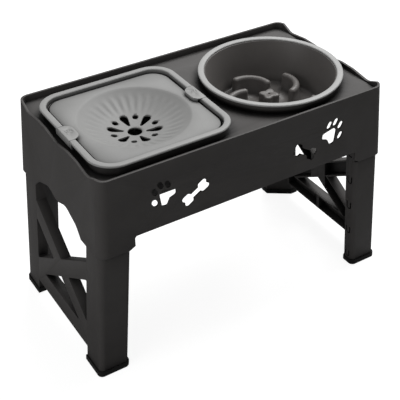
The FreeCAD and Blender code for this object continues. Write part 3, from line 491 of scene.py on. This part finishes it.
def pin_bores():
    """The round holes in the ears for the clips' pins."""
    outline = circle((PIN_REACH, PIN_LEVEL), PIN_BORE, steps=24)
    half = NOTCH + LUG_WIDTH + BORE_SPARE
    bm = bmesh.new()
    for side in (-1, 1):
        side_slab(bm, side, outline, -half, 2 * half)
    return make_piece("pin_bores", bm, WATER, ring_grey)


def clip_notches():
    """The ring steps down and in where a closed clip lies flush with it."""
    outline = [(CLEAR_INNER, CLEAR_TOP), (CLEAR_INNER, NOTCH_FLOOR), (NOTCH_EDGE, NOTCH_FLOOR),
               (NOTCH_EDGE, NOTCH_LOW), (CLEAR_OUTER, NOTCH_LOW), (CLEAR_OUTER, CLEAR_TOP)]
    bm = bmesh.new()
    for side in (-1, 1):
        side_slab(bm, side, outline, -NOTCH, 2 * NOTCH)
    return make_piece("clip_notches", bm, WATER, ring_grey)


def water_ring():
    """The square ring, with a lip that seats in the bowl's rebate."""
    inner = RING_HALF - RING_WIDTH
    lip_low = RING_UNDER - LIP_DEPTH
    lip = [(inner, lip_low), (inner + LIP_THICKNESS, lip_low), (inner + LIP_THICKNESS, RING_UNDER)]
    bm = bmesh.new()
    section = ring_section(RING_HALF) + lip
    loops = [square_loop(bm, half, half - CORNER_CENTRE, level) for half, level in section]
    bridge(bm, loops, closed=True)
    piece = make_piece("water_bowl_ring_trim", bm, WATER, ring_grey)
    combine(piece, clip_notches(), "DIFFERENCE")
    combine(piece, hinge_lugs(), "UNION")
    combine(piece, pin_bores(), "DIFFERENCE")
    round_edges(piece, width=0.3)
    return piece


def food_ring():
    bm = bmesh.new()
    bridge(bm, [round_loop(bm, radius, level) for radius, level in ring_section(RING_RADIUS)], closed=True)
    piece = make_piece("food_bowl_ring_trim", bm, FOOD, food_ring_grey)
    round_edges(piece, width=0.4)
    return piece


# Float plate: a square tray edge round a fluted dish with drain holes

PLATE_CORNER = 25.0
PLATE_RIM = 7.0
PLATE_EDGE_DROP = 0.5
PLATE_EDGE_INSET = 0.6
SKIN = 2.2
DISH_RADIUS = 73.0
DISH_DEPTH = 24.0
# The radius of the ball that the dish is a part of
BALL = (DISH_RADIUS ** 2 + DISH_DEPTH ** 2) / (2 * DISH_DEPTH)
# Loops down the dish, closer together where the flutes begin
DISH_STEPS = (72.2, 70.0, 67.0, 64.0, 62.0, 60.5, 59.0, 57.5, 55.0, 52.0, 49.0, 46.0, 43.0, 40.0, 37.0,
              33.0, 28.0, 23.0, 18.0, 13.0)
UNDERSIDE_STEPS = (24.0, 41.0, 56.0, 66.0, 72.0)
UNDERSIDE_EDGE = 2.5
# How far out and how far down the dish's eased edge begins and ends
DISH_EDGE = ((1.0, 0.0), (0.2, 0.25))
PLATE_AROUND = 480

FLUTE_HEIGHT = 0.42
FLUTE_START = 64.5
FLUTE_FADE_IN = 5.0
FLUTE_END = 37.0
FLUTE_FADE_OUT = 12.0

# The middle hole, with petal slots and small holes by turns round it
DRAIN_RADIUS = 9.3
DRAIN_EASE = 0.5
DRAIN_COUNT = 6
PETAL_NEAR = 16.2
PETAL_FAR = 29.5
PETAL_NARROW = 1.9
PETAL_WIDE = 5.5
SPOT_RADIUS = 4.0
# The levels between which the drains are cut
DRAIN_LOW = 260.0
DRAIN_HIGH = 300.0


def dish_level(reach):
    """Level of the dish's upper face at a distance from the middle."""
    return PLATE_TOP - DISH_DEPTH + BALL - math.sqrt(BALL ** 2 - reach ** 2)


def flute_height(reach):
    """Flutes fade in under the dish's edge and out towards its flat middle."""
    fade_in = min(1.0, max(0.0, (FLUTE_START - reach) / FLUTE_FADE_IN))
    fade_out = min(1.0, max(0.0, (reach - FLUTE_END) / FLUTE_FADE_OUT))
    return FLUTE_HEIGHT * fade_in * fade_out


def petal(heading):
    """A teardrop slot: two round ends with straight flanks that touch both."""
    lead = math.pi / 2 + math.asin((PETAL_WIDE - PETAL_NARROW) / (PETAL_FAR - PETAL_NEAR))
    far = polar(heading, PETAL_FAR)
    near = polar(heading, PETAL_NEAR)
    return (arc(far, PETAL_WIDE, heading - lead, heading + lead, steps=16)
            + arc(near, PETAL_NARROW, heading + lead, heading + math.tau - lead, steps=16))


def drain_cutter():
    """The petals and the small holes between them, as one tool of closed prisms."""
    headings = [math.tau * step / DRAIN_COUNT for step in range(DRAIN_COUNT)]
    outlines = [petal(heading + math.pi / DRAIN_COUNT) for heading in headings]
    outlines += [circle(polar(heading, PETAL_FAR), SPOT_RADIUS, steps=28) for heading in headings]
    bm = bmesh.new()
    for outline in outlines:
        prism(bm, [(*point, DRAIN_LOW) for point in outline], (0, 0, DRAIN_HIGH - DRAIN_LOW))
    return make_piece("drain_cutter", bm, WATER, plate_grey, smooth=False)


def float_plate():
    bm = bmesh.new()

    def tray_loop(inset, drop):
        return square_loop(bm, PLATE_HALF - inset, PLATE_CORNER - inset, PLATE_TOP - drop, PLATE_AROUND)

    def dish_loop(reach, level, ripple=0.0):
        return round_loop(bm, reach, level, PLATE_AROUND, ripple)

    loops = [tray_loop(0, PLATE_RIM), tray_loop(0, PLATE_EDGE_DROP), tray_loop(PLATE_EDGE_INSET, 0)]
    loops += [dish_loop(DISH_RADIUS + out, PLATE_TOP - drop) for out, drop in DISH_EDGE]
    loops += [dish_loop(reach, dish_level(reach), flute_height(reach)) for reach in DISH_STEPS]
    loops.append(dish_loop(DRAIN_RADIUS + DRAIN_EASE, dish_level(DRAIN_RADIUS + DRAIN_EASE)))
    loops.append(dish_loop(DRAIN_RADIUS, dish_level(DRAIN_RADIUS) - DRAIN_EASE))
    loops.append(dish_loop(DRAIN_RADIUS, dish_level(DRAIN_RADIUS) - SKIN))
    loops += [dish_loop(reach, dish_level(reach) - SKIN) for reach in UNDERSIDE_STEPS]
    loops.append(dish_loop(DISH_RADIUS + UNDERSIDE_EDGE, PLATE_TOP - SKIN))
    loops += [tray_loop(SKIN, SKIN), tray_loop(SKIN, PLATE_RIM)]
    bridge(bm, loops, closed=True)
    piece = make_piece("float_plate_dish", bm, WATER, plate_grey)
    combine(piece, drain_cutter(), "DIFFERENCE")
    return piece


# Slow feeder: a turned bowl with curled ridges and a lobed post

FEEDER_FLOOR = 244.0
FEEDER_WALL = 2.5
FLOOR_RADIUS = 74.8
FLOOR_FILLET = 4.0
WAIST_RADIUS = 79.4
WAIST_LEVEL = 261.2
WAIST_FILLET = 18.0
MOUTH_RADIUS = 88.1
RIM_FILLET = 0.8

# Ridges and post, with their headings in degrees
RIDGES = 5
FEEDER_TURN = 40
RIDGE_CENTRE = (32.0, 0.0)
RIDGE_RADIUS = 29.9
RIDGE_START = -112
RIDGE_END = -16
RIDGE_HALF = 4.8
RIDGE_HEIGHT = 24.7
RIDGE_ROUND = 4.4
RIDGE_AROUND = 112
# How far the ridges and the post sink into the floor, so that they join it
ROOT = 1.2

POST_HEADING = 45
POST_RADIUS = 12.0
POST_LOBE = 2.2
POST_HEIGHT = 24.0
POST_ROUND = 2.6
POST_AROUND = 120
# Radius and depth of the small moulding dimple in the post's top
POST_DIMPLE = ((1.9, 0.0), (1.5, 0.3), (1.4, 1.5))


def rounded_path(bends, steps=5):
    """A path of (reach, level) through bends, each rounded by its third value."""
    path = []
    for i, (x, z, radius) in enumerate(bends):
        here = Vector((x, z))
        if not radius:
            path.append(here)
            continue
        back = (Vector(bends[i - 1][:2]) - here).normalized()
        ahead = (Vector(bends[i + 1][:2]) - here).normalized()
        half = back.angle(ahead) / 2
        reach = radius / math.tan(half)
        centre = here + (back + ahead).normalized() * (radius / math.sin(half))
        start = here + back * reach - centre
        end = here + ahead * reach - centre
        path += [centre + start.slerp(end, step / steps) * radius for step in range(steps + 1)]
    return path


def turned_bowl():
    skirt = RING_RADIUS - RING_OVERHANG
    under = FEEDER_FLOOR - FEEDER_WALL
    profile = rounded_path([
        (0, under, 0), (FLOOR_RADIUS + FEEDER_WALL, under, FLOOR_FILLET + FEEDER_WALL),
        (WAIST_RADIUS + FEEDER_WALL, WAIST_LEVEL, WAIST_FILLET), (MOUTH_RADIUS + FEEDER_WALL, DECK, 0),
        (skirt, DECK, 0), (skirt, RING_UNDER, RIM_FILLET), (MOUTH_RADIUS, RING_UNDER, RIM_FILLET),
        (WAIST_RADIUS, WAIST_LEVEL, WAIST_FILLET), (FLOOR_RADIUS, FEEDER_FLOOR, FLOOR_FILLET),
        (0, FEEDER_FLOOR, 0),
    ])
    bm = bmesh.new()
    verts = [bm.verts.new((point.x * MM, 0, point.y * MM)) for point in profile]
    edges = [bm.edges.new(pair) for pair in zip(verts, verts[1:])]
    bmesh.ops.spin(bm, geom=verts + edges, cent=(0, 0, 0), axis=(0, 0, 1), angle=math.tau, steps=144,
                   use_merge=True)
    return make_piece("food_bowl_shell", bm, FOOD, feeder_black_painted_lighter)


def rounded_top(height, radius, steps):
    """Levels above the floor, and insets, of a wall whose top edge is rounded."""
    edge = arc((radius, height - radius), radius, math.pi, math.pi / 2, steps)
    return [(-ROOT, 0.0)] + [(level, inset) for inset, level in edge]


def ridge(heading):
    """One curled wall: an arc with round ends and a round top."""
    first, last = math.radians(RIDGE_START), math.radians(RIDGE_END)

    def outline(half, level):
        def place(share):
            part, along = divmod(share * 4, 1)
            if part == 0:
                spot = polar(first + (last - first) * along, RIDGE_RADIUS + half, RIDGE_CENTRE)
            elif part == 1:
                spot = polar(last + math.pi * along, half, polar(last, RIDGE_RADIUS, RIDGE_CENTRE))
            elif part == 2:
                spot = polar(last + (first - last) * along, RIDGE_RADIUS - half, RIDGE_CENTRE)
            else:
                spot = polar(first + math.pi * (1 + along), half, polar(first, RIDGE_RADIUS, RIDGE_CENTRE))
            return (*spot, level)
        return shaped_loop(bm, RIDGE_AROUND, place)

    bm = bmesh.new()
    loops = [outline(RIDGE_HALF - inset, FEEDER_FLOOR + level)
             for level, inset in rounded_top(RIDGE_HEIGHT, RIDGE_ROUND, steps=8)]
    bridge(bm, loops)
    cap_ends(bm, loops)
    bmesh.ops.rotate(bm, verts=bm.verts, cent=(0, 0, 0), matrix=Matrix.Rotation(heading, 3, "Z"))
    return make_piece("ridge", bm, FOOD, feeder_black_painted_lighter)


def lobed_post():
    """Four lobes with a dimple in the top."""
    def outline(inset, level):
        def place(share):
            angle = share * math.tau
            lobe = POST_LOBE * math.cos(4 * (angle - math.radians(POST_HEADING)))
            return (*polar(angle, POST_RADIUS + lobe - inset), level)
        return shaped_loop(bm, POST_AROUND, place)

    bm = bmesh.new()
    top = FEEDER_FLOOR + POST_HEIGHT
    loops = [outline(inset, FEEDER_FLOOR + level)
             for level, inset in rounded_top(POST_HEIGHT, POST_ROUND, steps=6)]
    loops += [round_loop(bm, radius, top - drop, POST_AROUND) for radius, drop in POST_DIMPLE]
    bridge(bm, loops)
    cap_ends(bm, loops)
    return make_piece("lobed_post", bm, FOOD, feeder_black_painted_lighter)


def food_bowl():
    piece = turned_bowl()
    for step in range(RIDGES):
        combine(piece, ridge(math.radians(FEEDER_TURN) + math.tau * step / RIDGES), "UNION")
    combine(piece, lobed_post(), "UNION")
    return piece


# Ring clips, with a paw pressed into each

# The pad and four toes: across, along, half width and half length
PAW_PRESS = ((0.0, -2.2, 2.6, 2.2), (-3.9, 1.2, 1.3, 1.7), (-1.4, 3.6, 1.2, 1.8),
             (1.4, 3.6, 1.2, 1.8), (3.9, 1.2, 1.3, 1.7))
# The paw's place along the clip, half its depth, and how far its middle is above the ring's top
PAW_SHIFT = 0.5
PRESS_HALF = 0.6
PRESS_LIFT = 0.15


def paw_press(side):
    middle = Vector((side * (RING_HALF - RING_WIDTH), PAW_SHIFT, RING_TOP + PRESS_LIFT)) * MM
    bm = bmesh.new()
    for across, along, wide, tall in PAW_PRESS:
        size = Matrix.Diagonal(Vector((wide * MM, tall * MM, PRESS_HALF * MM, 1)))
        shape = Matrix.Translation((across * MM, along * MM, 0)) @ size
        bmesh.ops.create_uvsphere(bm, u_segments=16, v_segments=8, radius=1.0, matrix=shape)
    return make_piece("paw_press", bm, WATER + middle, ring_grey)


def ring_clip(node, side):
    piece = softened(node, node + "_lever", ring_grey, width=0.6)
    apply_modifiers(piece)
    combine(piece, paw_press(side), "DIFFERENCE")
    return piece


settle(water_bowl(), "water_bowl")
settle(food_ring(), "food_bowl_ring")
settle(water_ring(), "water_bowl_ring")
settle(float_plate(), "float_plate")
settle(food_bowl(), "food_bowl")
settle(ring_clip("left_ring_clip", -1), "left_ring_clip")
settle(ring_clip("right_ring_clip", 1), "right_ring_clip")


# Floor and light

# Half the floor's width, in metres
FLOOR_SIZE = 6.0
# The floor lies just under the feet, so that no two faces share a plane
FLOOR_DROP = 0.2
PAPER_GREY = 0.30
PAPER_GLOW = 0.90
SKY_ON_OBJECT = 0.25
# Name, diameter in metres, power in watts, place and target
LAMPS = (
    ("key light", 1.8, 58.0, (1.05, 0.60, 2.00), (0, 0, 0.25)),
    ("left light", 1.4, 10.5, (-1.9, -0.45, 0.8), (0, 0, 0.2)),
)


def studio_paper():
    """White to the camera and grey to everything else, so that it throws little light on the object."""
    material = bpy.data.materials.new("matt white studio paper")
    material.use_nodes = True
    tree = material.node_tree
    tree.nodes.clear()
    paper = add(tree, "ShaderNodeBsdfDiffuse", {"Color": (PAPER_GREY, PAPER_GREY, PAPER_GREY, 1)})
    glow = add(tree, "ShaderNodeEmission", {"Color": (1, 1, 1, 1), "Strength": PAPER_GLOW})
    both = add(tree, "ShaderNodeAddShader")
    tree.links.new(paper.outputs["BSDF"], both.inputs[0])
    tree.links.new(glow.outputs["Emission"], both.inputs[1])
    seen = add(tree, "ShaderNodeLightPath").outputs["Is Camera Ray"]
    choose = add(tree, "ShaderNodeMixShader", Fac=seen)
    tree.links.new(paper.outputs["BSDF"], choose.inputs[1])
    tree.links.new(both.outputs["Shader"], choose.inputs[2])
    add(tree, "ShaderNodeOutputMaterial", Surface=choose.outputs["Shader"])
    return material


def pale_floor():
    bm = bmesh.new()
    bmesh.ops.create_grid(bm, x_segments=1, y_segments=1, size=FLOOR_SIZE)
    bmesh.ops.translate(bm, verts=bm.verts, vec=(0, 0, -FLOOR_DROP * MM))
    new_object("floor", bm, studio_paper())


def studio_light():
    world = bpy.data.worlds.new("studio")
    bpy.context.scene.world = world
    world.use_nodes = True
    tree = world.node_tree
    tree.nodes.clear()
    seen = add(tree, "ShaderNodeLightPath").outputs["Is Camera Ray"]
    strength = add(tree, "ShaderNodeMapRange", {"To Min": SKY_ON_OBJECT, "To Max": 1.0}, Value=seen)
    sky = add(tree, "ShaderNodeBackground", {"Color": (1, 1, 1, 1)}, Strength=strength.outputs["Result"])
    add(tree, "ShaderNodeOutputWorld", Surface=sky.outputs["Background"])
    for name, size, power, place, target in LAMPS:
        data = bpy.data.lights.new(name, "AREA")
        data.shape = "DISK"
        data.size = size
        data.energy = power
        lamp = bpy.data.objects.new(name, data)
        bpy.context.scene.collection.objects.link(lamp)
        lamp.location = place
        lamp.rotation_euler = (Vector(target) - Vector(place)).to_track_quat("-Z", "Y").to_euler()


pale_floor()
studio_light()
bpy.context.scene.view_settings.view_transform = "Standard"
